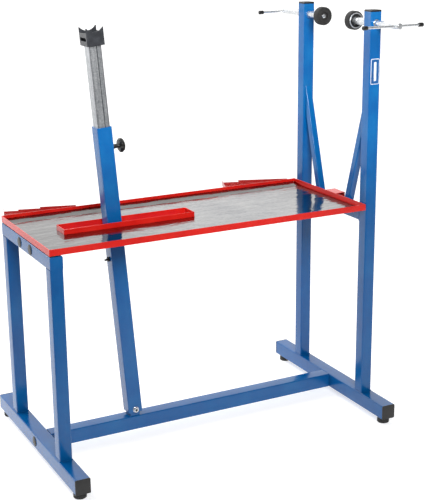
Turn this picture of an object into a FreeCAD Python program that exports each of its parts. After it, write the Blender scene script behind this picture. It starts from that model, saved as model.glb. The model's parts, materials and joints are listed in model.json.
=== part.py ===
"""Work stand: a square-tube bench with a drip tray, a tilting telescopic column and two clamps.

Frame: +Z up, X along the bench, -Y is the working side. The origin is on the floor, at mid
length and mid depth. Millimetres.
"""
import FreeCAD
import Part
import math
import os

V = FreeCAD.Vector
X_AXIS, Y_AXIS, Z_AXIS = V(1, 0, 0), V(0, 1, 0), V(0, 0, 1)

# Driving dimensions of the frame
end_frame_x = 681.0        # centre of each end frame from mid length
beam = 60.0                # foot beams and stretcher, square tube
beam_wall = 3.0
tube = 50.0                # legs, uprights and table rails, square tube
tube_wall = 2.5
tube_corner = 4.0          # outer corner radius of every square tube
foot_height = 26.0
left_foot_half = 452.0
right_foot_half = 440.0
left_frame_half = 280.0    # half of the left frame's width, leg outside to leg outside
right_frame_half = 272.0
rail_top = 887.0
upright_top = 1691.0
table_rail_y = 61.0
upright_cap = 7.0
beam_cap = 5.0
cap_insert = 14.0

# Braces between the right top rail and the uprights
brace = 30.0
brace_lean = 16.2          # degrees from vertical
brace_y, brace_z = 121.5, 990.0   # a point on the brace's upper face

# Drip tray
tray_x0, tray_x1 = -706.0, 650.0
tray_half = 280.0
tray_bottom = 891.5
angle_leg = 25.0
angle_thick = 3.0
sheet_thick = 1.5
sheet_rise, sheet_ramp = 8.0, 60.0      # the sheet's rear margin slopes up to the rim
collar_half_length = 276.0
collar_half_width = 42.0
collar_wall = 3.0

# Tilting column
pivot = V(-286, 0, 115)
column_lean = 4.43         # degrees towards -X at rest
outer = 60.0
outer_wall = 4.0
outer_bottom, outer_top = -13.0, 1176.0    # along the column, from the pivot
inner = 50.0
inner_bottom, inner_top = 783.0, 1483.0
knob_height = 1091.0
stop_height = 649.0
saddle_bottom = 1485.0
saddle_x, saddle_y = 70.0, 76.0
saddle_height = 67.0
saddle_side_height = 48.0
saddle_window = (18.0, 31.0)   # heights above the saddle's base
saddle_wall = 4.0

# Clamps at the tops of the uprights, distances from mid depth
clamp_z = 1640.0
pad_front, pad_back = 102.0, 132.0
pad_radius = 37.5
spindle_radius = 12.0
spindle_end = 430.0
bar_y = 412.0
bar_radius = 5.0
bar_length = 280.0
bar_shift = {"front": -20.0, "rear": 0.0}
sleeve_radius = 15.0
bush_radius = 18.0
running_gap = 0.05

# Swivel trays under the back edge of the drip tray
swivel_length, swivel_depth, swivel_height = 300.0, 180.0, 22.0
swivel_wall = 2.0
swivel_edge = 25.0         # pivot from the tray's right and near edges
swivel_top = 889.0
swivel_pivots = {"left": (-413.0, 262.0, -16.5), "right": (600.0, 258.0, -21.0)}
# how far each step of the back wall reaches from the left end, and how low it is cut
swivel_steps = {"left": ((60.0, 11.0), (150.0, 6.0)), "right": ((75.0, 8.0),)}
stud_radius = 5.0

side_sign = {"front": -1, "rear": 1}
parts = {}


def add(name, *solids):
    """Keep a sub-part, as one solid or as a group of separate solids."""
    parts[name] = solids[0] if len(solids) == 1 else Part.makeCompound(list(solids))


def box(x0, x1, y0, y1, z0, z1):
    return Part.makeBox(x1 - x0, y1 - y0, z1 - z0, V(x0, y0, z0))


def cylinder(radius, start, direction, length):
    return Part.makeCylinder(radius, length, start, direction)


def rounded_bar(size_x, size_y, corner, length):
    """A bar along +Z from the origin, with rounded long edges."""
    hx, hy = size_x / 2, size_y / 2
    edges = []
    for turn, (sx, sy) in enumerate(((1, 1), (-1, 1), (-1, -1), (1, -1))):
        centre = V(sx * (hx - corner), sy * (hy - corner), 0)
        angles = [math.radians(90 * turn + a) for a in (0, 45, 90)]
        points = [centre + V(math.cos(a), math.sin(a), 0) * corner for a in angles]
        if edges:
            edges.append(Part.LineSegment(last, points[0]).toShape())
        else:
            first = points[0]
        edges.append(Part.Arc(*points).toShape())
        last = points[2]
    edges.append(Part.LineSegment(last, first).toShape())
    return Part.Face(Part.Wire(edges)).extrude(V(0, 0, length))


def square_tube(size, wall, length, width=None):
    """A square or rectangular tube along +Z from the origin."""
    width = width or size
    inside = max(tube_corner - wall, 0.8)
    hollow = rounded_bar(size - 2 * wall, width - 2 * wall, inside, length + 2)
    hollow.translate(V(0, 0, -1))
    return rounded_bar(size, width, tube_corner, length).cut(hollow)


def upright_at(x, y, z0, z1, size, wall):
    shape = square_tube(size, wall, z1 - z0)
    shape.translate(V(x, y, z0))
    return shape


def along_y(shape, x, y0, z):
    """Turn a shape that points up so that it points along +Y, and place its start."""
    shape.rotate(V(0, 0, 0), X_AXIS, -90)
    shape.translate(V(x, y0, z))
    return shape


def along_x(shape, x0, y, z):
    shape.rotate(V(0, 0, 0), Y_AXIS, 90)
    shape.translate(V(x0, y, z))
    return shape


def hexagon(across_flats, length):
    """A hexagonal prism along +Z from the origin."""
    radius = across_flats / math.sqrt(3)
    points = [V(radius * math.cos(math.radians(60 * i)), radius * math.sin(math.radians(60 * i)), 0)
              for i in range(7)]
    return Part.Face(Part.makePolygon(points)).extrude(V(0, 0, length))


def turned(profile):
    """A turned part about Z from its (radius, height) outline."""
    points = [V(r, 0, h) for r, h in profile]
    return Part.Face(Part.makePolygon(points + [points[0]])).revolve(V(0, 0, 0), Z_AXIS, 360)


def insert_cap(size, wall, thickness):
    """A push-in tube cap: its plate stands on z = 0 and its plug hangs below."""
    plate = rounded_bar(size, size, tube_corner, thickness)
    plate = plate.makeChamfer(1.2, [e for e in plate.Edges if e.BoundBox.ZMin > thickness - 0.01])
    plug = rounded_bar(size - 2 * wall, size - 2 * wall, 1.5, cap_insert)
    core = rounded_bar(size - 2 * wall - 5, size - 2 * wall - 5, 1.0, cap_insert)
    plug = plug.cut(core)
    plug.translate(V(0, 0, -cap_insert))
    return plate.fuse(plug).removeSplitter()


def make_foot_beams():
    beam_z = foot_height + beam / 2
    caps, feet, foot_bolts, plugs = [], [], [], []
    for name, x_sign, half in (("left", -1, left_foot_half), ("right", 1, right_foot_half)):
        x = x_sign * end_frame_x
        tube_half = half - beam_cap
        shape = along_y(square_tube(beam, beam_wall, 2 * tube_half), x, -tube_half, beam_z)
        shape = shape.cut(cylinder(18, V(x, 0, beam_z), V(x_sign, 0, 0), beam))
        shape = shape.cut(cylinder(6.5, V(x, 0, beam_z), V(-x_sign, 0, 0), beam))
        for y_sign in (-1, 1):
            cap = insert_cap(beam, beam_wall, beam_cap)
            if y_sign < 0:
                cap.rotate(V(0, 0, 0), X_AXIS, 180)
            caps.append(along_y(cap, x, y_sign * tube_half, beam_z))
            foot_at = V(x, y_sign * (half - 38), 0)
            shape = shape.cut(cylinder(4.5, foot_at, Z_AXIS, foot_height + 10))
            feet.append(rubber_foot(foot_at))
            foot_bolts.append(foot_bolt(foot_at))
        plugs.append(access_plug(x + x_sign * beam / 2, 0, beam_z, x_sign))
        add(name + "_foot_beam", shape)
    add("foot_beam_caps", *caps)
    add("rubber_feet", *feet)
    add("foot_bolts", *foot_bolts)
    return plugs


def rubber_foot(at):
    shape = turned([(4.5, 8), (11, 8), (11, 0), (22.5, 0), (25, 2.5), (25, 16), (23.5, 19),
                    (23.5, foot_height), (4.5, foot_height)])
    shape.translate(at)
    return shape


def foot_bolt(at):
    """M8 bolt from the foot's recess, with its nut inside the beam."""
    bolt = cylinder(8, V(0, 0, 3), Z_AXIS, 5).fuse(cylinder(4, V(0, 0, 7), Z_AXIS, 34))
    nut = hexagon(13, 6.5)
    nut.translate(V(0, 0, foot_height + beam_wall))
    shape = bolt.fuse(nut)
    shape.translate(at)
    return shape


def access_plug(x, y, z, direction):
    """Round push-in plug over the hole that a socket key goes through."""
    shape = turned([(0, 0), (20, 0), (20, 1.4), (17, 2.8), (0, 3.2)])
    shape = shape.fuse(turned([(16.2, 0), (17.9, 0), (17.9, -9), (16.2, -9)]))
    if direction < 0:
        shape.rotate(V(0, 0, 0), X_AXIS, 180)
    return along_x(shape, x, y, z)


def make_left_frame():
    """Two legs under a top rail with closed ends."""
    for name, y_sign in side_sign.items():
        y = y_sign * (left_frame_half - tube / 2)
        add("left_leg_" + name,
            upright_at(-end_frame_x, y, foot_height + beam, rail_top - tube, tube, tube_wall))
    half = left_frame_half
    rail = along_y(rounded_bar(tube, tube, tube_corner, 2 * half), -end_frame_x, -half,
                   rail_top - tube / 2)
    hollow = tube - 2 * tube_wall
    rail = rail.cut(along_y(rounded_bar(hollow, hollow, 1.5, 2 * half - 6), -end_frame_x,
                            3 - half, rail_top - tube / 2))
    add("left_top_rail", with_rail_holes(rail, -1))


def with_rail_holes(rail, x_sign):
    """Socket holes in the outer wall and bolt holes in the inner wall of a top rail."""
    for y_sign in (-1, 1):
        at = V(x_sign * end_frame_x, y_sign * table_rail_y, rail_top - tube / 2)
        rail = rail.cut(cylinder(18, at, V(x_sign, 0, 0), tube))
        rail = rail.cut(cylinder(5.5, at, V(-x_sign, 0, 0), tube))
    return rail


def make_right_frame():
    """Two tall uprights with a top rail between them at table height."""
    caps = []
    tube_top = upright_top - upright_cap
    for name, y_sign in side_sign.items():
        y = y_sign * (right_frame_half - tube / 2)
        shape = upright_at(end_frame_x, y, foot_height + beam, tube_top, tube, tube_wall)
        hole = cylinder(bush_radius, V(end_frame_x, y - tube, clamp_z), Y_AXIS, 2 * tube)
        add("right_upright_" + name, shape.cut(hole))
        cap = insert_cap(tube, tube_wall, upright_cap)
        cap.translate(V(end_frame_x, y, tube_top))
        caps.append(cap)
        add("brace_" + name, make_brace(y_sign))
    add("upright_caps", *caps)
    half = right_frame_half - tube
    rail = along_y(square_tube(tube, tube_wall, 2 * half), end_frame_x, -half, rail_top - tube / 2)
    add("right_top_rail", with_rail_holes(rail, 1))


def make_brace(y_sign):
    """A tube that leans from the top rail out to the upright, cut flush at both."""
    lean = math.radians(brace_lean)
    shape = square_tube(brace, 2.0, 900)
    shape.translate(V(0, 0, -300))
    shape.rotate(V(0, 0, 0), X_AXIS, -y_sign * brace_lean)
    centre_y = brace_y + brace / 2 / math.cos(lean)
    shape.translate(V(end_frame_x, y_sign * centre_y, brace_z))
    inner_face = right_frame_half - tube
    room = box(end_frame_x - tube, end_frame_x + tube, -inner_face, inner_face, rail_top, upright_top)
    return shape.common(room)


def make_long_members():
    """Stretcher and table rails, each closed by threaded end plates for the frame bolts."""
    beam_z, rail_z = foot_height + beam / 2, rail_top - tube / 2
    beam_face, rail_face = end_frame_x - beam / 2, end_frame_x - tube / 2
    gap = 1.0
    length = 2 * (beam_face - gap)
    add("stretcher", along_x(square_tube(beam, beam_wall, length), gap - beam_face, 0, beam_z))
    plates, rail_bolts, beam_bolts = [], [], []
    for name, y_sign in side_sign.items():
        y = y_sign * table_rail_y
        add("table_rail_" + name,
            along_x(square_tube(tube, tube_wall, 2 * rail_face), -rail_face, y, rail_z))
        for x_sign in (-1, 1):
            at = V(x_sign * rail_face, y, rail_z)
            plates.append(end_plate(at, x_sign, tube - 2 * tube_wall, 5))
            rail_bolts.append(frame_bolt(at, x_sign, tube_wall, 5, 16))
    for x_sign in (-1, 1):
        at = V(x_sign * beam_face, 0, beam_z)
        plates.append(end_plate(at - V(x_sign * gap, 0, 0), x_sign, beam - 2 * beam_wall, 6))
        beam_bolts.append(frame_bolt(at, x_sign, beam_wall, 6, 18))
    add("end_plates", *plates)
    add("rail_bolts", *rail_bolts)
    add("stretcher_bolts", *beam_bolts)


def end_plate(at, x_sign, size, bolt_radius):
    """An 8 mm plate just inside a tube's end, tapped for the frame bolt."""
    x0 = min(at.x, at.x - x_sign * 8)
    plate = along_x(rounded_bar(size, size, 1.5, 8), x0, at.y, at.z)
    return plate.cut(cylinder(bolt_radius, V(x0 - 1, at.y, at.z), X_AXIS, 10))


def frame_bolt(at, x_sign, wall, radius, across_flats):
    """Hexagon bolt with its head inside the end frame's tube."""
    head = hexagon(across_flats, radius * 1.3)
    head.rotate(V(0, 0, 0), Y_AXIS, 90 * x_sign)
    head.translate(at + V(x_sign * wall, 0, 0))
    shank = cylinder(radius, at + V(x_sign * (wall + 0.5), 0, 0), V(-x_sign, 0, 0), 26 + wall)
    return head.fuse(shank)


def make_access_plugs(beam_plugs):
    plugs = list(beam_plugs)
    for x_sign in (-1, 1):
        for y_sign in (-1, 1):
            plugs.append(access_plug(x_sign * (end_frame_x + tube / 2), y_sign * table_rail_y,
                                     rail_top - tube / 2, x_sign))
    add("access_plugs", *plugs)


def make_drip_tray():
    """Angle-iron rim, loose floor sheet with a slot, and the collar round the slot."""
    rim_top = tray_bottom + angle_leg
    t = angle_thick
    rim = box(tray_x0, tray_x1, -tray_half, tray_half, tray_bottom, rim_top)
    rim = rim.cut(box(tray_x0 + t, tray_x1 - t, t - tray_half, tray_half - t, tray_bottom + t,
                      rim_top + 1))
    inset = angle_leg
    rim = rim.cut(box(tray_x0 + inset, tray_x1 - inset, inset - tray_half, tray_half - inset,
                      tray_bottom - 1, tray_bottom + t + 1))
    uprights = [e for e in rim.Edges if e.BoundBox.ZLength > angle_leg - 1]
    add("tray_frame", rim.makeFillet(2.0, uprights))
    sheet_z0 = tray_bottom + t
    sheet_z1 = sheet_z0 + sheet_thick
    x0, x1, y1 = tray_x0 + t + 0.5, tray_x1 - t - 0.5, tray_half - t - 0.5
    bend_y = y1 - sheet_ramp
    outline = [(-y1, sheet_z0), (bend_y, sheet_z0), (y1, sheet_z0 + sheet_rise),
               (y1, sheet_z1 + sheet_rise), (bend_y, sheet_z1), (-y1, sheet_z1)]
    corners = [V(x0, y, z) for y, z in outline]
    sheet = Part.Face(Part.makePolygon(corners + corners[:1])).extrude(V(x1 - x0, 0, 0))
    hole_x, hole_y = collar_half_length - collar_wall, collar_half_width - collar_wall
    collar = box(pivot.x - collar_half_length, pivot.x + collar_half_length, -collar_half_width,
                 collar_half_width, rail_top + 1, rim_top)
    add("tray_sheet", sheet.cut(collar))
    hole = box(pivot.x - hole_x, pivot.x + hole_x, -hole_y, hole_y, rail_top, rim_top + 1)
    add("slot_collar", collar.cut(hole))
    add("tray_pads", *tray_pads())
    hook = box(tray_x1, tray_x1 + 47, -55, 24, rim_top - 3, rim_top)
    hook = hook.fuse(box(tray_x1 + 44, tray_x1 + 47, -55, 24, rail_top, rim_top))
    add("tray_hook", hook.removeSplitter())


def tray_pads():
    """Rubber pads that the tray's angle rests on, two on each end of the bench."""
    pads = []
    for y_sign in (-1, 1):
        y = y_sign * (tray_half - 22)
        pads.append(box(tray_x0 + 2, tray_x0 + 24, y - 18, y + 18, rail_top, tray_bottom))
        y = y_sign * table_rail_y
        pads.append(box(tray_x1 - 24, tray_x1 - 2, y - 18, y + 18, rail_top, tray_bottom))
    return pads


def make_swivel_trays():
    bolts, spacers = [], []
    floor_z = swivel_top - swivel_height
    for name, (x, y, angle) in swivel_pivots.items():
        x0, x1 = swivel_edge - swivel_length, swivel_edge
        y0, y1 = -swivel_edge, swivel_depth - swivel_edge
        w = swivel_wall
        shape = box(x0, x1, y0, y1, floor_z, swivel_top)
        shape = shape.cut(box(x0 + w, x1 - w, y0 + w, y1 - w, floor_z + w, swivel_top + 1))
        uprights = [e for e in shape.Edges if e.BoundBox.ZLength > swivel_height - 4]
        shape = shape.makeFillet(1.5, uprights)
        for reach, drop in swivel_steps[name]:
            shape = shape.cut(box(x0 - 1, x0 + reach, y1 - w - 0.5, y1 + 1, swivel_top - drop,
                                  swivel_top + 1))
        hole = cylinder(stud_radius + running_gap, V(0, 0, floor_z - 1), Z_AXIS, 10)
        shape = shape.cut(hole)
        shape.rotate(V(0, 0, 0), Z_AXIS, angle)
        shape.translate(V(x, y, 0))
        add("swivel_tray_" + name, shape)
        head = hexagon(17, 6.5)
        head.translate(V(x, y, floor_z - 6.7))
        shank = cylinder(stud_radius, V(x, y, floor_z - 2), Z_AXIS, tray_bottom - floor_z + 2)
        bolts.append(head.fuse(shank))
        spacer = cylinder(8, V(x, y, floor_z + w + 0.2), Z_AXIS, tray_bottom - floor_z - w - 0.2)
        spacers.append(spacer.cut(cylinder(stud_radius, V(x, y, floor_z), Z_AXIS, 40)))
    add("swivel_bolts", *bolts)
    add("swivel_spacers", *spacers)


def make_pivot_bracket():
    """Channel on the stretcher, its two lugs inside the foot of the column."""
    base_z = foot_height + beam
    lug_out, lug_in, half_x = 24.5, 19.5, 20.0
    shape = box(pivot.x - half_x, pivot.x + half_x, -lug_out, lug_out, base_z, base_z + 4)
    for y_sign in (-1, 1):
        y0, y1 = sorted((y_sign * lug_in, y_sign * lug_out))
        lug = box(pivot.x - half_x, pivot.x + half_x, y0, y1, base_z, pivot.z)
        lug = lug.fuse(cylinder(half_x, V(pivot.x, y0, pivot.z), Y_AXIS, y1 - y0))
        shape = shape.fuse(lug)
    hole = cylinder(6 + running_gap, V(pivot.x, -40, pivot.z), Y_AXIS, 80)
    add("pivot_bracket", shape.removeSplitter().cut(hole))


def lean(shape):
    """Move a shape from the column's own frame, pivot at its origin, to its leaning place."""
    shape = shape.copy()
    shape.rotate(V(0, 0, 0), Y_AXIS, -column_lean)
    shape.translate(pivot)
    return shape


def make_column():
    face = outer / 2
    shape = square_tube(outer, outer_wall, outer_top - outer_bottom)
    shape.translate(V(0, 0, outer_bottom))
    shape = shape.cut(cylinder(6, V(0, -60, 0), Y_AXIS, 120))
    shape = shape.cut(cylinder(5.5, V(0, 0, knob_height), X_AXIS, 60))
    shape = shape.cut(cylinder(4, V(0, 0, stop_height), V(-1, 0, 0), 60))
    add("column_outer", lean(shape))
    bolt = cylinder(6, V(0, -face - 3, 0), Y_AXIS, outer + 20)
    head = along_y(turned([(0, 0), (9.5, 0), (11, 2), (11, 8), (0, 8)]), 0, -face - 10.5, 0)
    recess = along_y(hexagon(11, 5), 0, -face - 11, 0)
    add("pivot_bolt", lean(bolt.fuse(head).cut(recess)))
    washers = []
    for y in (-face - 2.5, face):
        washer = cylinder(12.5, V(0, y, 0), Y_AXIS, 2.5).cut(cylinder(6, V(0, y - 1, 0), Y_AXIS, 5))
        washers.append(lean(washer))
    add("pivot_washers", *washers)
    nut = along_y(hexagon(19, 10), 0, face + 2.5, 0)
    add("pivot_nut", lean(nut.cut(cylinder(6, V(0, 0, 0), Y_AXIS, 80))))
    boss = along_x(hexagon(24, 5), face, 0, knob_height)
    add("knob_boss", lean(boss.cut(cylinder(5 + running_gap, V(0, 0, knob_height), X_AXIS, 60))))
    stud = cylinder(4, V(-face - 19, 0, stop_height), X_AXIS, 29)
    nut = along_x(hexagon(17, 8), -face - 8, 0, stop_height)
    add("stop_screw", lean(stud.fuse(nut)))


def make_mast():
    """Sliding inner tube with the saddle on its end plug."""
    shape = square_tube(inner, tube_wall, inner_top - inner_bottom)
    shape.translate(V(0, 0, inner_bottom))
    add("column_inner", lean(shape))
    hollow = inner - 2 * tube_wall
    plug = rounded_bar(hollow, hollow, 1.5, saddle_bottom - inner_top + 24)
    plug.translate(V(0, 0, inner_top - 24))
    plug = plug.cut(cylinder(5, V(0, 0, inner_top - 30), Z_AXIS, 60))
    add("saddle_plug", lean(plug))
    screw = cylinder(5, V(0, 0, inner_top - 22), Z_AXIS, saddle_bottom - inner_top + 28)
    head = hexagon(16, 6)
    head.translate(V(0, 0, saddle_bottom + 6))
    add("saddle_screw", lean(screw.fuse(head)))
    add("saddle", lean(make_saddle()))


def make_saddle():
    """Open box: arched cheeks front and rear, lower sides with a long window."""
    hx, hy, w = saddle_x / 2, saddle_y / 2, saddle_wall
    z0, z1 = saddle_bottom, saddle_bottom + saddle_height
    shape = box(-hx, hx, -hy, hy, z0, z1)
    shape = shape.cut(box(w - hx, hx - w, w - hy, hy - w, z0 + 6, z1 + 1))
    shape = shape.cut(box(-hx - 1, hx + 1, w - hy, hy - w, z0 + saddle_side_height, z1 + 1))
    tip_flat, arch_drop = 3.0, 16.0
    chord = hx - tip_flat
    arch = (chord ** 2 + arch_drop ** 2) / (2 * arch_drop)
    shape = shape.cut(cylinder(arch, V(0, -hy - 1, z1 - arch_drop + arch), Y_AXIS, saddle_y + 2))
    window = box(-hx - 1, hx + 1, -29, 29, z0 + saddle_window[0], z0 + saddle_window[1])
    edges = [e for e in window.Edges if e.BoundBox.XLength > saddle_x]
    shape = shape.cut(window.makeFillet(5, edges))
    corners = [e for e in shape.Edges if e.BoundBox.ZLength > 20 and e.BoundBox.XLength < 0.1
               and abs(abs(e.BoundBox.XMin) - hx) < 0.01 and abs(abs(e.BoundBox.YMin) - hy) < 0.01]
    shape = shape.makeFillet(2.5, corners)
    hole = cylinder(5, V(0, 0, z0 - 1), Z_AXIS, 10)
    return shape.cut(hole)


def make_lock_knob():
    """Star knob on a stud that presses on the sliding tube."""
    face = outer / 2
    stud = cylinder(5, V(inner / 2 + 0.4, 0, knob_height), X_AXIS, 40)
    add("lock_screw", lean(stud))
    head = turned([(0, 0), (22, 0), (27.5, 4), (27.5, 12), (24, 17), (14, 22), (0, 24)])
    lobes = 6
    for i in range(lobes):
        a = math.radians(360 / lobes * (i + 0.5))
        head = head.cut(cylinder(9, V(31 * math.cos(a), 31 * math.sin(a), -1), Z_AXIS, 30))
    stem = turned([(0, 0), (8.5, 0), (9, 3), (8, 20), (10, 26), (0, 26)])
    head.translate(V(0, 0, 25))
    knob = along_x(stem.fuse(head), face + 6, 0, knob_height)
    add("lock_knob", lean(knob.cut(cylinder(5, V(0, 0, knob_height), X_AXIS, 65.4))))


def make_clamp(name):
    """Screw clamp through one upright: positions are distances from mid depth."""
    sign = side_sign[name]

    def place(shape):
        """Turn a part whose +Z is the distance from mid depth into its place."""
        shape = shape.copy()
        shape.rotate(V(0, 0, 0), X_AXIS, -90 * sign)
        shape.translate(V(end_frame_x, 0, clamp_z))
        return shape

    def ring(r_in, r_out, a, b):
        return turned([(r_in, a), (r_out, a), (r_out, b), (r_in, b)])

    axle_r = 6.0
    upright_in, upright_out = right_frame_half - tube, right_frame_half
    bush = place(ring(sleeve_radius, bush_radius, upright_in - 3, upright_out + 3))
    sleeve = place(ring(spindle_radius + running_gap, sleeve_radius, pad_back + 3, upright_out + 2))
    tyre = turned([(axle_r + 1.5, 109), (17, 109), (17, pad_front + 1), (18, pad_front),
                   (26, pad_front), (27, pad_front + 1.5), (29, pad_front + 1.5), (30, pad_front),
                   (35, pad_front), (pad_radius, pad_front + 2.5), (pad_radius, pad_back - 2.5),
                   (35, pad_back), (31, pad_back), (31, 114), (axle_r + 1.5, 114)])
    cup = turned([(axle_r + running_gap, 114), (31, 114), (31, pad_back + 1.5), (27, pad_back + 1.5),
                  (27, 117), (axle_r + running_gap, 117)])
    axle = turned([(3, 109.5), (axle_r, 109.5), (axle_r, 117.3), (sleeve_radius, 117.3),
                   (sleeve_radius, 131.5), (5, 131.5), (5, 150), (3, 150)])
    screw = turned([(0, 105), (4, 105), (8, 106.5), (8, 108.6), (3, 108.6), (3, 140), (0, 140)])
    spindle = turned([(0, 152), (5 + running_gap, 152), (5 + running_gap, 132), (spindle_radius, 132),
                      (spindle_radius, spindle_end - 2), (spindle_radius - 2, spindle_end),
                      (0, spindle_end)])
    add("roller_tyre_" + name, place(tyre))
    add("roller_cup_" + name, place(cup))
    add("clamp_axle_" + name, place(axle))
    add("pad_screw_" + name, place(screw))
    bar_x = end_frame_x + bar_shift[name]
    bar_at = V(bar_x - bar_length / 2, sign * bar_y, clamp_z)
    cross_hole = cylinder(bar_radius, bar_at, X_AXIS, bar_length)
    add("clamp_spindle_" + name, place(spindle).cut(cross_hole))
    cap_length = 22.0
    bar_inset = 3.0
    bar_start = bar_at + V(bar_inset, 0, 0)
    add("tommy_bar_" + name, cylinder(bar_radius, bar_start, X_AXIS, bar_length - 2 * bar_inset))
    caps = []
    for direction in (1, -1):
        end = bar_at if direction > 0 else bar_at + V(bar_length, 0, 0)
        cap = turned([(0, 0), (6, 0), (8, 2), (8, cap_length - 2), (7, cap_length),
                      (bar_radius, cap_length), (bar_radius, bar_inset), (0, bar_inset)])
        cap.rotate(V(0, 0, 0), Y_AXIS, 90 * direction)
        cap.translate(end)
        caps.append(cap)
    add("bar_caps_" + name, *caps)
    return bush, sleeve


def make_all():
    beam_plugs = make_foot_beams()
    make_left_frame()
    make_right_frame()
    make_long_members()
    make_access_plugs(beam_plugs)
    make_drip_tray()
    make_swivel_trays()
    make_pivot_bracket()
    make_column()
    make_mast()
    make_lock_knob()
    bushes, sleeves = zip(*(make_clamp(name) for name in side_sign))
    add("clamp_bushes", *bushes)
    add("clamp_sleeves", *sleeves)


make_all()
os.makedirs("parts", exist_ok=True)
for part_name, part_shape in parts.items():
    part_shape.exportStep("parts/" + part_name + ".step")
print(len(parts), "nodes")
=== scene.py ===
import bmesh
import bpy
import json
import math
from mathutils import Matrix, Vector
from mathutils.noise import noise as noiseAt


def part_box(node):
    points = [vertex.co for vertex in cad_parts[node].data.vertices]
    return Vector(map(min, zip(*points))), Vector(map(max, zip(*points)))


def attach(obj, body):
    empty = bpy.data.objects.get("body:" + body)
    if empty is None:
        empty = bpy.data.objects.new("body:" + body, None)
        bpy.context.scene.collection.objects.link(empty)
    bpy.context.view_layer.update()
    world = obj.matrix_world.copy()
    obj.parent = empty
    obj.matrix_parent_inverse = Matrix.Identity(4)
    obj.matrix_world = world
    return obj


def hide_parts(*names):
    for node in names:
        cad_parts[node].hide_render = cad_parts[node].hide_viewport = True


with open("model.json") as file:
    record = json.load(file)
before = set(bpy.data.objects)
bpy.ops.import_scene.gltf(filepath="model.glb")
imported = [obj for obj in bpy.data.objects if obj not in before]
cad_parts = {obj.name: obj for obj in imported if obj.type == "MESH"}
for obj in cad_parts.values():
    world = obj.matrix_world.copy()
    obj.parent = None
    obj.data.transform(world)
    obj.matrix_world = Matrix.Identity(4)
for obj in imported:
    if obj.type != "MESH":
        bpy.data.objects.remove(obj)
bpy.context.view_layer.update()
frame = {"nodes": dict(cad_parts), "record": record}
nodes = frame["nodes"]
mm = 0.001
print("frame loaded:", len(nodes), "nodes")

# shared sizes, in metres, the same as the CAD's
columnPivot = Vector((-0.286, 0, 0.115))
columnLean = math.radians(4.43)
uprightX = 0.681
clampHeight = 1.640
# from the column's own upright frame to its leaning place
columnPlace = Matrix.Translation(columnPivot) @ Matrix.Rotation(-columnLean, 4, "Y")


# materials
def linear(hexColour):
    # sRGB hex to the linear colour that the shaders want
    channels = [int(hexColour[i:i + 2], 16) / 255 for i in (1, 3, 5)]
    return [c / 12.92 if c <= 0.04045 else ((c + 0.055) / 1.055) ** 2.4 for c in channels] + [1]


def addNode(tree, kind, settings=None, links=None, **options):
    node = tree.nodes.new(kind)
    for key, value in options.items():
        setattr(node, key, value)
    for socket, value in (settings or {}).items():
        node.inputs[socket].default_value = value
    for socket, source in (links or {}).items():
        tree.links.new(source, node.inputs[socket])
    return node


def newMaterial(name, **settings):
    material = bpy.data.materials.new(name)
    material.use_nodes = True
    tree = material.node_tree
    tree.nodes.clear()
    shader = addNode(tree, "ShaderNodeBsdfPrincipled")
    for socket, value in settings.items():
        shader.inputs[socket.replace("_", " ")].default_value = value
    output = addNode(tree, "ShaderNodeOutputMaterial")
    tree.links.new(shader.outputs[0], output.inputs[0])
    coords = addNode(tree, "ShaderNodeTexCoord").outputs["Object"]
    return material, tree, shader, coords


def ramp(tree, source, stops):
    node = addNode(tree, "ShaderNodeValToRGB", links={0: source})
    elements = node.color_ramp.elements
    for i, (position, colour) in enumerate(stops):
        element = elements[i] if i < 2 else elements.new(position)
        element.position = position
        element.color = linear(colour) if isinstance(colour, str) else [colour] * 3 + [1]
    return node.outputs[0]


def noise(tree, coords, scale, detail=2, roughness=0.5, stretch=None, distortion=0):
    if stretch:
        coords = addNode(tree, "ShaderNodeMapping", {"Scale": stretch}, {0: coords}).outputs[0]
    node = addNode(tree, "ShaderNodeTexNoise", links={"Vector": coords},
                   settings={"Scale": scale, "Detail": detail, "Roughness": roughness,
                             "Distortion": distortion})
    return node.outputs["Fac"]


def mapRange(tree, source, limits, values, style="SMOOTHSTEP"):
    # goes from the first value to the second as the source crosses its limits
    node = addNode(tree, "ShaderNodeMapRange", links={0: source}, interpolation_type=style,
                   settings={1: limits[0], 2: limits[1], 3: values[0], 4: values[1]})
    return node.outputs[0]


def calculate(tree, operation, first, second=0):
    # one step of arithmetic; the second value is a number or another node's output
    given = isinstance(second, (int, float))
    node = addNode(tree, "ShaderNodeMath", {1: second} if given else None,
                   {0: first} if given else {0: first, 1: second}, operation=operation)
    return node.outputs[0]


def tint(tree, amount, colour, over):
    # lays one plain colour over another by an amount
    return addNode(tree, "ShaderNodeMixRGB", {2: linear(over)}, {0: amount, 1: colour}).outputs[0]


def separate(tree, coords):
    # the x, y and z of a place
    return addNode(tree, "ShaderNodeSeparateXYZ", links={0: coords}).outputs


def bump(tree, shader, height, strength, distance, below=None):
    # fine relief, over the relief of another bump where one is given
    links = {"Height": height}
    if below:
        links["Normal"] = below
    node = addNode(tree, "ShaderNodeBump", {"Strength": strength, "Distance": distance}, links)
    tree.links.new(node.outputs[0], shader.inputs["Normal"])
    return node.outputs[0]


# heights between which the painted shade low on the paint thins out, in metres, and how deep it is
lowShadeSettings = {"heights": (0.8, 1.25), "depth": 0.55}


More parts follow.
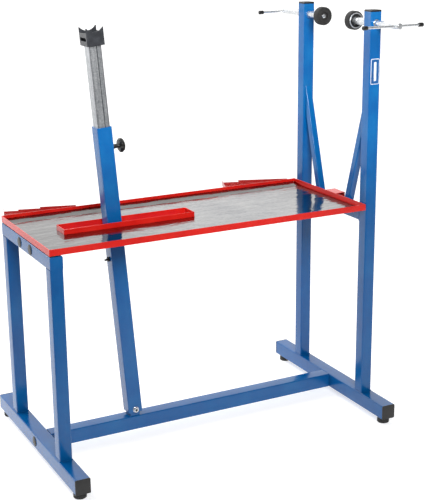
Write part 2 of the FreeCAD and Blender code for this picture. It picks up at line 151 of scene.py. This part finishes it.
def powderCoat(name, deep, main, pale, roughness, lowShadeColour=None):
    # glossy polyester powder over steel: slight orange peel, faint dusty patches, a clear top gloss;
    # below table height a painted shade deepens it, standing in for the dimmer light low down
    material, tree, shader, coords = newMaterial(name, Roughness=roughness, IOR=1.46)
    patches = noise(tree, coords, 7, 4, 0.6)          # handling marks, about 140 mm across
    colour = ramp(tree, patches, [(0.25, deep), (0.5, main), (0.78, pale)])
    # painted shade: the colour darkens towards the bottom, below table height
    if lowShadeColour:
        lowShade = mapRange(tree, separate(tree, coords)[2], lowShadeSettings["heights"],
                        (lowShadeSettings["depth"], 0))
        colour = tint(tree, lowShade, colour, lowShadeColour)
    tree.links.new(colour, shader.inputs["Base Color"])
    wipes = noise(tree, coords, 30, 5, 0.65)          # rubbed and dusty spots, about 30 mm
    gloss = ramp(tree, wipes, [(0.35, roughness * 0.8), (0.7, roughness * 1.35)])
    tree.links.new(gloss, shader.inputs["Roughness"])
    peel = noise(tree, coords, 380, 1)                # orange peel, about 2.6 mm
    flow = noise(tree, coords, 45, 2)                 # slow film thickness, about 22 mm
    below = bump(tree, shader, flow, 0.25, 0.6 * mm)
    bump(tree, shader, peel, 0.10, 0.3 * mm, below)
    return material


# where painted shade lies on the sheet, in metres: along its rear edge, and out from its unshaded middle
sheetShadeSettings = {"colour": "#4B4845", "ragged": 0.09, "rear": (0.232, 0.262), "rearDepth": 0.8,
                 "middle": 0.12, "ends": (0.14, 0.84), "endDepth": 0.62}


def paintedSheetShade(tree, coords, settings):
    # how deep the painted shade is at each place of the sheet, with a ragged edge
    x, y = separate(tree, coords)[:2]
    ragged = noise(tree, coords, 14, 4, 0.6)
    shift = calculate(tree, "MULTIPLY", ragged, settings["ragged"])
    back = calculate(tree, "ADD", y, shift)
    rear = mapRange(tree, back, settings["rear"], (0, settings["rearDepth"]))
    away = calculate(tree, "ABSOLUTE", calculate(tree, "SUBTRACT", x, settings["middle"]))
    out = calculate(tree, "ADD", away, shift)
    ends = mapRange(tree, out, settings["ends"], (0, settings["endDepth"]))
    return calculate(tree, "MAXIMUM", rear, ends)


def rolledZincSheet():
    # hot-dip galvanised sheet, rolled: soft grey spangle, faint rolling lines, painted shade at its rear
    # edge and ends
    material, tree, shader, coords = newMaterial("galvanisedSheet", Metallic=1.0, Roughness=0.2)
    cells = addNode(tree, "ShaderNodeTexVoronoi", {"Scale": 110}, {"Vector": coords})   # 9 mm spangle
    tone = addNode(tree, "ShaderNodeSeparateColor", links={0: cells.outputs["Color"]}).outputs[0]
    drift = noise(tree, coords, 5, 3, 0.6)            # slow change of tone, about 200 mm
    mixed = addNode(tree, "ShaderNodeMix", {"Factor": 0.22}, {"A": drift, "B": tone}).outputs[0]
    unshadedTone = ramp(tree, mixed, [(0.3, "#757679"), (0.5, "#878788"), (0.72, "#999997")])
    # painted shade: darker along the rear edge and towards both ends
    colour = tint(tree, paintedSheetShade(tree, coords, sheetShadeSettings), unshadedTone, sheetShadeSettings["colour"])
    tree.links.new(colour, shader.inputs["Base Color"])
    lines = noise(tree, coords, 90, 3, 0.6, stretch=(0.06, 1, 1))     # rolling lines along the sheet
    gloss = ramp(tree, lines, [(0.3, 0.08), (0.7, 0.17)])
    tree.links.new(gloss, shader.inputs["Roughness"])
    ripples = noise(tree, coords, 20, 3, 0.55, stretch=(0.4, 1, 1))   # shallow ripples, about 50 mm
    below = bump(tree, shader, ripples, 1.0, 2.2 * mm)
    bump(tree, shader, lines, 0.12, 0.3 * mm, below)
    return material


# across the tube's own section: the seam's place and half width, the darker corners, the front face
tubeSettings = {"seam": 5 * mm, "seamHalf": (0.8 * mm, 2.2 * mm), "seamColour": "#44484E",
                "corner": (18.5 * mm, 22.5 * mm), "cornerDepth": 0.55, "cornerColour": "#33373C",
                "front": (-24.9 * mm, -23.5 * mm)}


def galvanisedTube(settings):
    # galvanised tube: mottled zinc bloom, darker at its front corners, a weld seam down its length
    material, tree, shader, coords = newMaterial("galvanisedTube", Metallic=0.85, Roughness=0.4)
    moved = addNode(tree, "ShaderNodeMapping", {"Location": -columnPivot}, {0: coords}).outputs[0]
    upright = addNode(tree, "ShaderNodeMapping", {"Rotation": (0, columnLean, 0)}, {0: moved}).outputs[0]
    x, y = separate(tree, upright)[:2]
    bloom = noise(tree, coords, 170, 4, 0.65, distortion=0.4)         # bloom flecks, about 6 mm
    runs = noise(tree, upright, 190, 3, 0.6, stretch=(1, 1, 0.05))    # streaks down the tube
    both = addNode(tree, "ShaderNodeMix", {"Factor": 0.45}, {"A": bloom, "B": runs}).outputs[0]
    colour = ramp(tree, both, [(0.32, "#7C8085"), (0.5, "#A9ACAF"), (0.68, "#CDCED0")])
    reach = calculate(tree, "ABSOLUTE", calculate(tree, "SUBTRACT", x, settings["seam"]))
    seam = mapRange(tree, reach, settings["seamHalf"], (1, 0), "LINEAR")
    seamed = tint(tree, seam, colour, settings["seamColour"])
    # darker near the side edges of the front face only
    corner = mapRange(tree, calculate(tree, "ABSOLUTE", x), settings["corner"],
                      (0, settings["cornerDepth"]))
    forward = mapRange(tree, y, settings["front"], (1, 0), "LINEAR")
    edge = calculate(tree, "MULTIPLY", corner, forward)
    frontCornersDarkened = tint(tree, edge, seamed, settings["cornerColour"])
    tree.links.new(frontCornersDarkened, shader.inputs["Base Color"])
    gloss = ramp(tree, bloom, [(0.3, 0.3), (0.7, 0.5)])
    tree.links.new(gloss, shader.inputs["Roughness"])
    bump(tree, shader, both, 0.25, 0.6 * mm)
    return material


def brightZinc():
    # zinc plating on turned steel: bright, a little uneven in tone, finely grained
    material, tree, shader, coords = newMaterial("brightZincPlate", Metallic=0.75, Roughness=0.22)
    patches = noise(tree, coords, 60, 3)
    colour = ramp(tree, patches, [(0.3, "#C3C7CB"), (0.55, "#D6D8DA"), (0.75, "#E4E3DF")])
    tree.links.new(colour, shader.inputs["Base Color"])
    gloss = ramp(tree, noise(tree, coords, 220, 3), [(0.3, 0.16), (0.7, 0.3)])
    tree.links.new(gloss, shader.inputs["Roughness"])
    bump(tree, shader, noise(tree, coords, 900, 1), 0.08, 0.2 * mm)
    return material


def blackOxide():
    # black oxide on a steel screw: oily near-black with a dull metal glint
    material, tree, shader, coords = newMaterial("blackOxideSteel", Metallic=0.7, Roughness=0.4)
    colour = ramp(tree, noise(tree, coords, 150, 3), [(0.3, "#161618"), (0.7, "#2C2C2F")])
    tree.links.new(colour, shader.inputs["Base Color"])
    bump(tree, shader, noise(tree, coords, 700, 2), 0.12, 0.2 * mm)
    return material


def turnedAluminium():
    # turned aluminium: pale, soft gloss, fine lines along the roller's axis
    material, tree, shader, coords = newMaterial("turnedAluminium", Metallic=0.75, Roughness=0.32)
    colour = ramp(tree, noise(tree, coords, 80, 2), [(0.3, "#D0D2D4"), (0.7, "#E6E7E8")])
    tree.links.new(colour, shader.inputs["Base Color"])
    bump(tree, shader, noise(tree, coords, 700, 2, stretch=(1, 0.1, 1)), 0.12, 0.2 * mm)
    return material


def mouldedPlastic():
    # injection-moulded black polyamide: warm near-black, fine spark-eroded grain
    material, tree, shader, coords = newMaterial("mouldedPolyamide", Roughness=0.42, IOR=1.53)
    colour = ramp(tree, noise(tree, coords, 70, 4, 0.6), [(0.3, "#090909"), (0.7, "#141312")])
    tree.links.new(colour, shader.inputs["Base Color"])
    gloss = ramp(tree, noise(tree, coords, 240, 3), [(0.3, 0.34), (0.7, 0.55)])
    tree.links.new(gloss, shader.inputs["Roughness"])
    bump(tree, shader, noise(tree, coords, 1100, 2), 0.15, 0.2 * mm)
    return material


def mouldedRubber():
    # moulded black rubber: dull, slightly dusty, fine pores
    material, tree, shader, coords = newMaterial("mouldedRubber", Roughness=0.72, IOR=1.52)
    colour = ramp(tree, noise(tree, coords, 90, 5, 0.7), [(0.3, "#171717"), (0.72, "#2C2B2A")])
    tree.links.new(colour, shader.inputs["Base Color"])
    bump(tree, shader, noise(tree, coords, 800, 3), 0.3, 0.3 * mm)
    return material


def saddlePaint():
    # textured grey enamel on cast steel: satin, slightly pebbled, patchy in tone
    material, tree, shader, coords = newMaterial("texturedGreyEnamel", Roughness=0.38, IOR=1.5,
                                                 Metallic=0.25)
    patches = noise(tree, coords, 45, 4, 0.6)
    colour = ramp(tree, patches, [(0.3, "#2B2D31"), (0.55, "#383A3F"), (0.8, "#4A4D52")])
    tree.links.new(colour, shader.inputs["Base Color"])
    bump(tree, shader, noise(tree, coords, 500, 2), 0.2, 0.4 * mm)
    return material


def vinylFilm(name, deep, pale):
    # cast vinyl film: satin, faintly uneven where it was smoothed on
    material, tree, shader, coords = newMaterial(name, Roughness=0.45, IOR=1.45)
    colour = ramp(tree, noise(tree, coords, 40, 3), [(0.3, deep), (0.7, pale)])
    tree.links.new(colour, shader.inputs["Base Color"])
    bump(tree, shader, noise(tree, coords, 300, 2), 0.1, 0.2 * mm)
    return material


paints = {
    # the blue's last colour is the painted shade laid over it low down
    "blue_powder_coat": powderCoat("bluePowderCoat", "#01549A", "#0462A8", "#0F72B4", 0.17, "#003F70"),
    "red_powder_coat": powderCoat("redPowderCoat", "#B5140E", "#C71A13", "#D2271C", 0.2),
    # painted shade: a darker copy of the red powder coat for the swivel trays, which sit under the tray
    "swivelRed": powderCoat("shadedRedPowderCoat", "#8C120E", "#9C1713", "#A9201B", 0.26),
    "galvanised_sheet": rolledZincSheet(),
    "galvanised_tube": galvanisedTube(tubeSettings),
    "zinc_plated_steel": brightZinc(),
    "blackened_steel": blackOxide(),
    "turned_aluminium": turnedAluminium(),
    "black_plastic": mouldedPlastic(),
    "black_rubber": mouldedRubber(),
    "dark_painted_steel": saddlePaint(),
    "label": vinylFilm("whiteVinylFilm", "#E4E8EC", "#F4F6F8"),
    "labelField": vinylFilm("blueVinylFilm", "#0B4F8C", "#1561A4"),
}
slotOf = {row["node"]: row["material_slot"] for row in frame["record"]["subparts"]}
bodyOf = {node: body for body, members in frame["record"]["behaviour"]["bodies"].items()
          for node in members}
for name, node in nodes.items():
    node.data.materials.clear()
    node.data.materials.append(paints[slotOf[name]])
print("materials made:", len(paints))


# helpers for pieces: corners closer than the gap, in metres, are merged, and faces flatter than the
# angle are joined
bevelSegments = 2
mergeGap, flatAngle = 2e-6, math.radians(0.5)


def addPiece(name, bm, slot, body, bevel=0, angle=35, paint=None):
    # turns a bmesh into a finished piece that rides on its body
    bmesh.ops.recalc_face_normals(bm, faces=bm.faces)
    mesh = bpy.data.meshes.new(name)
    bm.to_mesh(mesh)
    bm.free()
    mesh.shade_smooth()
    mesh.set_sharp_from_angle(angle=math.radians(angle))
    piece = bpy.data.objects.new(name, mesh)
    bpy.context.scene.collection.objects.link(piece)
    mesh.materials.append(paints[paint or slot])
    if bevel:
        modifier = piece.modifiers.new("edges", "BEVEL")
        modifier.width, modifier.segments = bevel, bevelSegments
        modifier.limit_method, modifier.angle_limit = "ANGLE", math.radians(angle)
    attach(piece, body)
    return piece


def nodeCopy(node):
    # a merged bmesh copy of a CAD node's mesh
    bm = bmesh.new()
    bm.from_mesh(nodes[node].data)
    bmesh.ops.remove_doubles(bm, verts=bm.verts, dist=mergeGap)
    bmesh.ops.dissolve_limit(bm, angle_limit=flatAngle, verts=bm.verts, edges=bm.edges)
    return bm


def refine(node, bevel, paint=None):
    # the same shape with smooth arcs and softened edges
    piece = addPiece(node + "_finished", nodeCopy(node), slotOf[node], bodyOf[node], bevel, paint=paint)
    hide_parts(node)


# camera
cameraSettings = {"place": (-2.0109, -4.1035, 2.0759), "yaw": 27.09, "pitch": -16.25,
                  "roll": -0.629, "lens": 99.36, "sensor": 36, "clip": (0.1, 100)}


def addCamera(settings):
    yaw, pitch, roll = (math.radians(settings[k]) for k in ("yaw", "pitch", "roll"))
    level = math.cos(pitch)
    forward = Vector((math.sin(yaw) * level, math.cos(yaw) * level, math.sin(pitch)))
    right = Vector((math.cos(yaw), -math.sin(yaw), 0))
    up = right.cross(forward)
    turnedRight = right * math.cos(roll) + up * math.sin(roll)
    turnedUp = up * math.cos(roll) - right * math.sin(roll)
    data = bpy.data.cameras.new("camera")
    data.sensor_fit, data.sensor_width, data.lens = "HORIZONTAL", settings["sensor"], settings["lens"]
    data.clip_start, data.clip_end = settings["clip"]
    camera = bpy.data.objects.new("camera", data)
    bpy.context.scene.collection.objects.link(camera)
    turn = Matrix((turnedRight, turnedUp, -forward)).transposed().to_4x4()
    camera.matrix_world = Matrix.Translation(Vector(settings["place"])) @ turn
    bpy.context.scene.camera = camera


addCamera(cameraSettings)


# floor and light
floorSettings = {"halfSize": 30, "turn": math.radians(27.1), "fade": (-2.0, -0.72),
                 "glow": (0.02, 0.63), "unlit": "#9A9A9A", "lit": ("#C2C2C2", "#C9C9C9")}


def lightTable(settings):
    # back-lit acrylic light table: even white under the stand, switched off in front of it
    material, tree, shader, coords = newMaterial("lightTable", Roughness=0.9)
    turned = addNode(tree, "ShaderNodeMapping", {"Rotation": (0, 0, settings["turn"])}, {0: coords})
    away = separate(tree, turned.outputs[0])[1]
    lit = mapRange(tree, away, settings["fade"], (0, 1))
    dull, clear = settings["lit"]
    white = ramp(tree, noise(tree, coords, 2), [(0.3, dull), (0.7, clear)])
    colour = addNode(tree, "ShaderNodeMixRGB", {1: linear(settings["unlit"])}, {0: lit, 2: white})
    tree.links.new(colour.outputs[0], shader.inputs["Base Color"])
    glow = mapRange(tree, away, settings["fade"], settings["glow"])
    shader.inputs["Emission Color"].default_value = (1, 1, 1, 1)
    tree.links.new(glow, shader.inputs["Emission Strength"])
    return material


def addFloor(settings):
    bm = bmesh.new()
    bmesh.ops.create_grid(bm, x_segments=4, y_segments=4, size=settings["halfSize"])
    mesh = bpy.data.meshes.new("studioFloor")
    bm.to_mesh(mesh)
    bm.free()
    floor = bpy.data.objects.new("studioFloor", mesh)
    bpy.context.scene.collection.objects.link(floor)
    mesh.materials.append(lightTable(settings))


# a bright sweep behind the stand, a dim room in front of it
worldSettings = {"behind": 1.35, "front": 0.1, "turn": (-0.2, 0.7)}
sunSettings = {"from": (-0.2, 0.5, 1.0), "power": 1.6, "softness": 50}


def addWorld(settings):
    world = bpy.data.worlds.new("studio")
    world.use_nodes = True
    tree = world.node_tree
    direction = addNode(tree, "ShaderNodeTexCoord").outputs["Generated"]
    level = mapRange(tree, separate(tree, direction)[1], settings["turn"],
                     (settings["front"], settings["behind"]))
    tree.links.new(level, tree.nodes["Background"].inputs["Strength"])
    tree.nodes["Background"].inputs["Color"].default_value = (1, 1, 1, 1)
    bpy.context.scene.world = world


def addSun(settings):
    data = bpy.data.lights.new("softSun", "SUN")
    data.energy, data.angle = settings["power"], math.radians(settings["softness"])
    lamp = bpy.data.objects.new("softSun", data)
    bpy.context.scene.collection.objects.link(lamp)
    lamp.rotation_euler = (-Vector(settings["from"])).to_track_quat("-Z", "Y").to_euler()


# soft square panels: one lights the stand's front, the other the floor behind its left end
panelSettings = {
    "frontPanel": {"place": (-1.0, -3.8, 3.4), "target": (0.1, 0, 1.75), "size": 1.8, "power": 46,
                   "spread": 70},
    "floorPanel": {"place": (-1.6, 1.6, 1.6), "target": (-1.3, 1.0, 0), "size": 1.2, "power": 14,
                   "spread": 180},
}


def addPanel(name, settings):
    data = bpy.data.lights.new(name, "AREA")
    data.shape, data.size, data.energy = "SQUARE", settings["size"], settings["power"]
    data.spread = math.radians(settings["spread"])
    lamp = bpy.data.objects.new(name, data)
    bpy.context.scene.collection.objects.link(lamp)
    lamp.location = settings["place"]
    aim = Vector(settings["target"]) - Vector(settings["place"])
    lamp.rotation_euler = aim.to_track_quat("-Z", "Y").to_euler()


addFloor(floorSettings)
addWorld(worldSettings)
addSun(sunSettings)
for name, settings in panelSettings.items():
    addPanel(name, settings)
bpy.context.scene.view_settings.view_transform = "Standard"
print("camera, floor and lights set")


# frame tubes and other kept shapes, each with the width of its softened edges in mm (0 leaves them)
plainEdges = {"left_foot_beam": 0, "right_foot_beam": 0, "left_leg_front": 0, "left_leg_rear": 0,
              "left_top_rail": 0.6, "right_upright_front": 0, "right_upright_rear": 0,
              "right_top_rail": 0, "stretcher": 0.5, "table_rail_front": 0, "table_rail_rear": 0,
              "column_outer": 0.5, "column_inner": 0.4, "tray_frame": 1.2, "slot_collar": 1.2,
              "tray_hook": 0.7, "swivel_tray_left": 0.4, "swivel_tray_right": 0.4, "saddle": 0.8,
              "lock_knob": 0.9, "knob_boss": 0.5, "upright_caps": 0.4, "foot_beam_caps": 0.5,
              "access_plugs": 0.3, "rubber_feet": 0.6, "clamp_bushes": 0.4, "clamp_sleeves": 0.4,
              "clamp_spindle_front": 0.5, "clamp_spindle_rear": 0.5, "tommy_bar_front": 0.4,
              "tommy_bar_rear": 0.4, "bar_caps_front": 0.6, "bar_caps_rear": 0.6,
              "roller_tyre_front": 0.7, "roller_tyre_rear": 0.7, "roller_cup_front": 0.3,
              "roller_cup_rear": 0.3, "pivot_bolt": 0.4, "pivot_nut": 0.4, "stop_screw": 0.3}
# the swivel trays take the painted-shade copy of the red powder coat
for node, width in plainEdges.items():
    refine(node, width * mm, "swivelRed" if node.startswith("swivel") else None)
print("kept shapes finished:", len(plainEdges))


# tray sheet
sheetSettings = {"wave": 0.9 * mm, "length": 0.19, "squeeze": 1.5, "seed": 0.3, "cuts": (68, 28),
                 "thick": 1.5 * mm, "ramp": 60 * mm, "bendCuts": (-3, -1, 1, 3), "hold": 0.07}


def cutAcross(bm, axis, value):
    # a line of vertices right across a flat sheet
    normal = Vector((axis == 0, axis == 1, 0))
    bmesh.ops.bisect_plane(bm, geom=bm.verts[:] + bm.edges[:] + bm.faces[:],
                           plane_co=normal * value, plane_no=normal, dist=1e-5)


def addTraySheet(settings):
    # a thin sheet with soft oil-canning, its rear margin sloped up to the rim
    low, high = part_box("tray_sheet")
    collarLow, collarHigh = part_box("slot_collar")
    thick = settings["thick"]
    size, centre = high - low, (low + high) / 2
    rise, bend = size.z - thick, high.y - settings["ramp"]
    bm = bmesh.new()
    place = Matrix.Translation((centre.x, centre.y, low.z + thick))
    stretch = Matrix.Diagonal((size.x / 2, size.y / 2, 1, 1))
    bmesh.ops.create_grid(bm, x_segments=settings["cuts"][0], y_segments=settings["cuts"][1], size=1,
                          matrix=place @ stretch)
    for axis in (0, 1):
        cutAcross(bm, axis, collarLow[axis])
        cutAcross(bm, axis, collarHigh[axis])
    for cut in settings["bendCuts"]:
        cutAcross(bm, 1, bend + cut * mm)
    inside = [f for f in bm.faces if collarLow.x < f.calc_center_median().x < collarHigh.x
              and collarLow.y < f.calc_center_median().y < collarHigh.y]
    bmesh.ops.delete(bm, geom=inside, context="FACES")
    for vert in bm.verts:
        x, y = vert.co.x, vert.co.y
        edge = min(x - low.x, high.x - x, y - low.y, abs(bend - y))
        collar = math.hypot(max(collarLow.x - x, x - collarHigh.x, 0),
                            max(collarLow.y - y, y - collarHigh.y, 0))
        free = max(0, min(1, min(edge, collar) / settings["hold"]))
        wave = noiseAt(Vector((x, y * settings["squeeze"], settings["seed"])) / settings["length"])
        vert.co.z += settings["wave"] * wave * free * free * (3 - 2 * free)
        vert.co.z += rise * max(0, y - bend) / settings["ramp"]
    piece = addPiece("tray_sheet_dented", bm, "galvanised_sheet", "stand", angle=40)
    if piece.data.polygons[0].normal.z < 0:
        piece.data.flip_normals()
    shell = piece.modifiers.new("thickness", "SOLIDIFY")
    shell.thickness, shell.offset, shell.use_even_offset = thick, -1, True
    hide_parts("tray_sheet")


addTraySheet(sheetSettings)
print("tray sheet made")


# welds
weldSettings = {"radius": 2.6 * mm, "thin": 1.8 * mm, "fillet": 7.5 * mm, "start": 0.8,
                "pitch": 3.2 * mm, "sides": 8, "swell": 1.22, "lift": 0.5 * mm, "inset": 3 * mm,
                "braceFoot": (1 * mm, 31 * mm), "braceHead": (105 * mm, 4 * mm),
                "bushRing": 18.5 * mm, "bossRing": 13.5 * mm, "bossBead": 1.6 * mm,
                "bossPlace": (30.5 * mm, 0, 1.091)}


def weldRun(bm, start, end, radius=None):
    # one bead with ripples, swept from start to end
    start, end = Vector(start), Vector(end)
    radius = (radius or weldSettings["radius"]) * weldSettings["start"]
    way = end - start
    steps = max(2, round(way.length / weldSettings["pitch"])) * 2
    turn = way.to_track_quat("Z", "Y").to_matrix().to_4x4()
    ring = bmesh.ops.create_circle(bm, segments=weldSettings["sides"], radius=radius, cap_ends=True,
                                   matrix=Matrix.Translation(start) @ turn)
    edges = list({e for v in ring["verts"] for e in v.link_edges})
    for i in range(steps):
        made = bmesh.ops.extrude_edge_only(bm, edges=edges)["geom"]
        verts = [v for v in made if isinstance(v, bmesh.types.BMVert)]
        edges = [e for e in made if isinstance(e, bmesh.types.BMEdge)]
        bmesh.ops.translate(bm, verts=verts, vec=way / steps)
        factor = weldSettings["swell"] if i % 2 == 0 else 1 / weldSettings["swell"]
        here = start + way * (i + 1) / steps
        bmesh.ops.scale(bm, verts=verts, vec=(factor,) * 3, space=Matrix.Translation(-here))
    bmesh.ops.contextual_create(bm, geom=edges)


def addHoop(bm, centre, axis, ringRadius, width, height=None, sides=8, steps=40):
    # a ring about an axis: round in section, or square when it has four sides
    axis = Vector(axis).normalized()
    side = axis.orthogonal().normalized()
    start = Vector(centre) + side * ringRadius
    turn = Matrix((side, axis, side.cross(axis))).transposed().to_4x4()
    section = (turn @ Matrix.Diagonal((width, height or width, 1, 1))
               @ Matrix.Rotation(math.pi / 4, 4, "Z"))
    ring = bmesh.ops.create_circle(bm, segments=sides, radius=1, cap_ends=False,
                                   matrix=Matrix.Translation(start) @ section)
    edges = list({e for v in ring["verts"] for e in v.link_edges})
    bmesh.ops.spin(bm, geom=ring["verts"] + edges, cent=centre, axis=axis, angle=math.tau,
                   steps=steps, use_merge=True)


def acrossPost(bm, post, z, radius=None):
    # across a leg's or an upright's inner face
    low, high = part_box(post)
    inner, inset = min(low.y, high.y, key=abs), weldSettings["inset"]
    weldRun(bm, (low.x + inset, inner, z), (high.x - inset, inner, z), radius)


def roundPostFoot(bm, post, z):
    # right round the foot of a leg or an upright, on its beam
    low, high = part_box(post)
    inner, outer = sorted((low.y, high.y), key=abs)
    inset = weldSettings["inset"]
    for y in (inner, outer):
        weldRun(bm, (low.x + inset, y, z), (high.x - inset, y, z))
    for x in (low.x, high.x):
        weldRun(bm, (x, inner, z), (x, outer, z))


def roundBrace(bm, brace, side, z):
    # a brace's foot on the rail and its head on the upright
    low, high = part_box(brace)
    inner, outer = sorted((low.y, high.y), key=abs)
    inset, thin = weldSettings["inset"], weldSettings["thin"]
    near, far = (inner + side * reach for reach in weldSettings["braceFoot"])
    under, over = (high.z - drop for drop in weldSettings["braceHead"])
    for x in (low.x, high.x):
        weldRun(bm, (x, near, z), (x, far, z), thin)
        weldRun(bm, (x, outer, under), (x, outer, over), thin)
    weldRun(bm, (low.x, inner, z), (high.x, inner, z), thin)
    weldRun(bm, (low.x + inset, outer, high.z), (high.x - inset, outer, high.z), thin)


def addWelds(settings):
    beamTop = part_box("left_foot_beam")[1].z + settings["lift"]
    railLow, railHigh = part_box("right_top_rail")
    railFoot, railTop = railLow.z - settings["lift"], railHigh.z + settings["lift"]
    bm = bmesh.new()
    for post in ("left_leg", "right_upright"):
        for end in ("_front", "_rear"):
            roundPostFoot(bm, post + end, beamTop)
    for side, end in ((-1, "_front"), (1, "_rear")):
        upright = "right_upright" + end
        acrossPost(bm, "left_leg" + end, railFoot, settings["fillet"])
        acrossPost(bm, upright, railFoot, settings["fillet"])
        acrossPost(bm, upright, railTop)
        roundBrace(bm, "brace" + end, side, railTop)
        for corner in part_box(upright):               # bushes through the uprights
            addHoop(bm, (uprightX, corner.y, clampHeight), (0, 1, 0), settings["bushRing"],
                    settings["thin"])
    addPiece("frame_welds", bm, "blue_powder_coat", "stand", angle=60)
    bm = bmesh.new()
    boss = columnPlace @ Vector(settings["bossPlace"])
    along = columnPlace.to_3x3() @ Vector((1, 0, 0))
    addHoop(bm, boss, along, settings["bossRing"], settings["bossBead"])
    addPiece("knob_boss_weld", bm, "blue_powder_coat", "column", angle=60)


addWelds(weldSettings)
print("welds made")


# roller covers: black rings that stand in for the shade in the rollers' cups
recessShadeSettings = {"inner": 15.6 * mm, "outer": 26.8 * mm, "from": 125 * mm, "to": 129 * mm,
                 "edge": 0.8 * mm}


def addRecessShade(name, side, settings):
    # black plastic ring that closes the roller's cup round the spindle's nose, painted shade standing in
    # for the dark of the recess
    bm = bmesh.new()
    inner, outer, start, end = (settings[key] for key in ("inner", "outer", "from", "to"))
    centre = (uprightX, side * (start + end) / 2, clampHeight)
    corner = math.sqrt(2) / 2                        # a square's half width to its corner
    addHoop(bm, centre, (0, 1, 0), (inner + outer) / 2, (outer - inner) * corner,
            (end - start) * corner, sides=4, steps=64)
    addPiece("roller_recess_shade_" + name, bm, "black_plastic", "clamp_" + name + "_roller",
             bevel=settings["edge"])


addRecessShade("front", -1, recessShadeSettings)
addRecessShade("rear", 1, recessShadeSettings)
print("roller covers made")


# socket shade: a black plug standing in for the shade in the socket
socketShadeSettings = {"out": 37.3 * mm, "back": 5.8 * mm, "front": 5.2 * mm, "depth": 2.6 * mm,
                "edge": 0.4 * mm}


def addSocketShade(settings):
    # black plug in the pivot bolt's hexagon socket, painted shade standing in for the dark of the recess
    bm = bmesh.new()
    place = Matrix.Translation(columnPivot + Vector((0, -settings["out"], 0)))
    bmesh.ops.create_cone(bm, cap_ends=True, segments=6, radius1=settings["back"],
                          radius2=settings["front"], depth=settings["depth"],
                          matrix=place @ Matrix.Rotation(math.pi / 2, 4, "X"))
    addPiece("pivot_socket_shade", bm, "black_plastic", "column", bevel=settings["edge"])


addSocketShade(socketShadeSettings)
print("socket plug made")


# plain label; proud is how far its border, its field and its bar stand out from the upright
labelSettings = {"low": (0.661, 1.401), "high": (0.702, 1.502), "border": 2.6 * mm, "sunk": 0.2 * mm,
                 "proud": (0.3 * mm, 0.51 * mm, 0.72 * mm), "corner": 6 * mm, "segments": 6,
                 "barHalf": 0.14, "barEnds": 13 * mm, "barCorner": 0.6}


def addFilm(name, low, high, proud, corner, paint):
    # a rounded film on the front upright's front face
    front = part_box("right_upright_front")[0].y
    sunk, segments = labelSettings["sunk"], labelSettings["segments"]
    size = (high[0] - low[0], proud + sunk, high[1] - low[1])
    centre = ((low[0] + high[0]) / 2, front - proud + size[1] / 2, (low[1] + high[1]) / 2)
    bm = bmesh.new()
    bmesh.ops.create_cube(bm, size=1, matrix=Matrix.Translation(centre) @ Matrix.Diagonal((*size, 1)))
    corners = [e for e in bm.edges if abs((e.verts[0].co - e.verts[1].co).normalized().y) > 0.9]
    bmesh.ops.bevel(bm, geom=corners, offset=corner, segments=segments, affect="EDGES", profile=0.5,
                    material=-1)
    addPiece(name, bm, slotOf["right_upright_front"], "stand", paint=paint)


def addLabel(settings):
    # white border, blue field and one plain white bar
    (x0, z0), (x1, z1) = settings["low"], settings["high"]
    border, corner, ends = settings["border"], settings["corner"], settings["barEnds"]
    borderProud, fieldProud, barProud = settings["proud"]
    addFilm("label_border", (x0, z0), (x1, z1), borderProud, corner, "label")
    addFilm("label_field", (x0 + border, z0 + border), (x1 - border, z1 - border), fieldProud,
            corner - border, "labelField")
    middle, half = (x0 + x1) / 2, (x1 - x0) * settings["barHalf"]
    addFilm("label_bar", (middle - half, z0 + ends), (middle + half, z1 - ends), barProud,
            half * settings["barCorner"], "label")


addLabel(labelSettings)
print("label made")
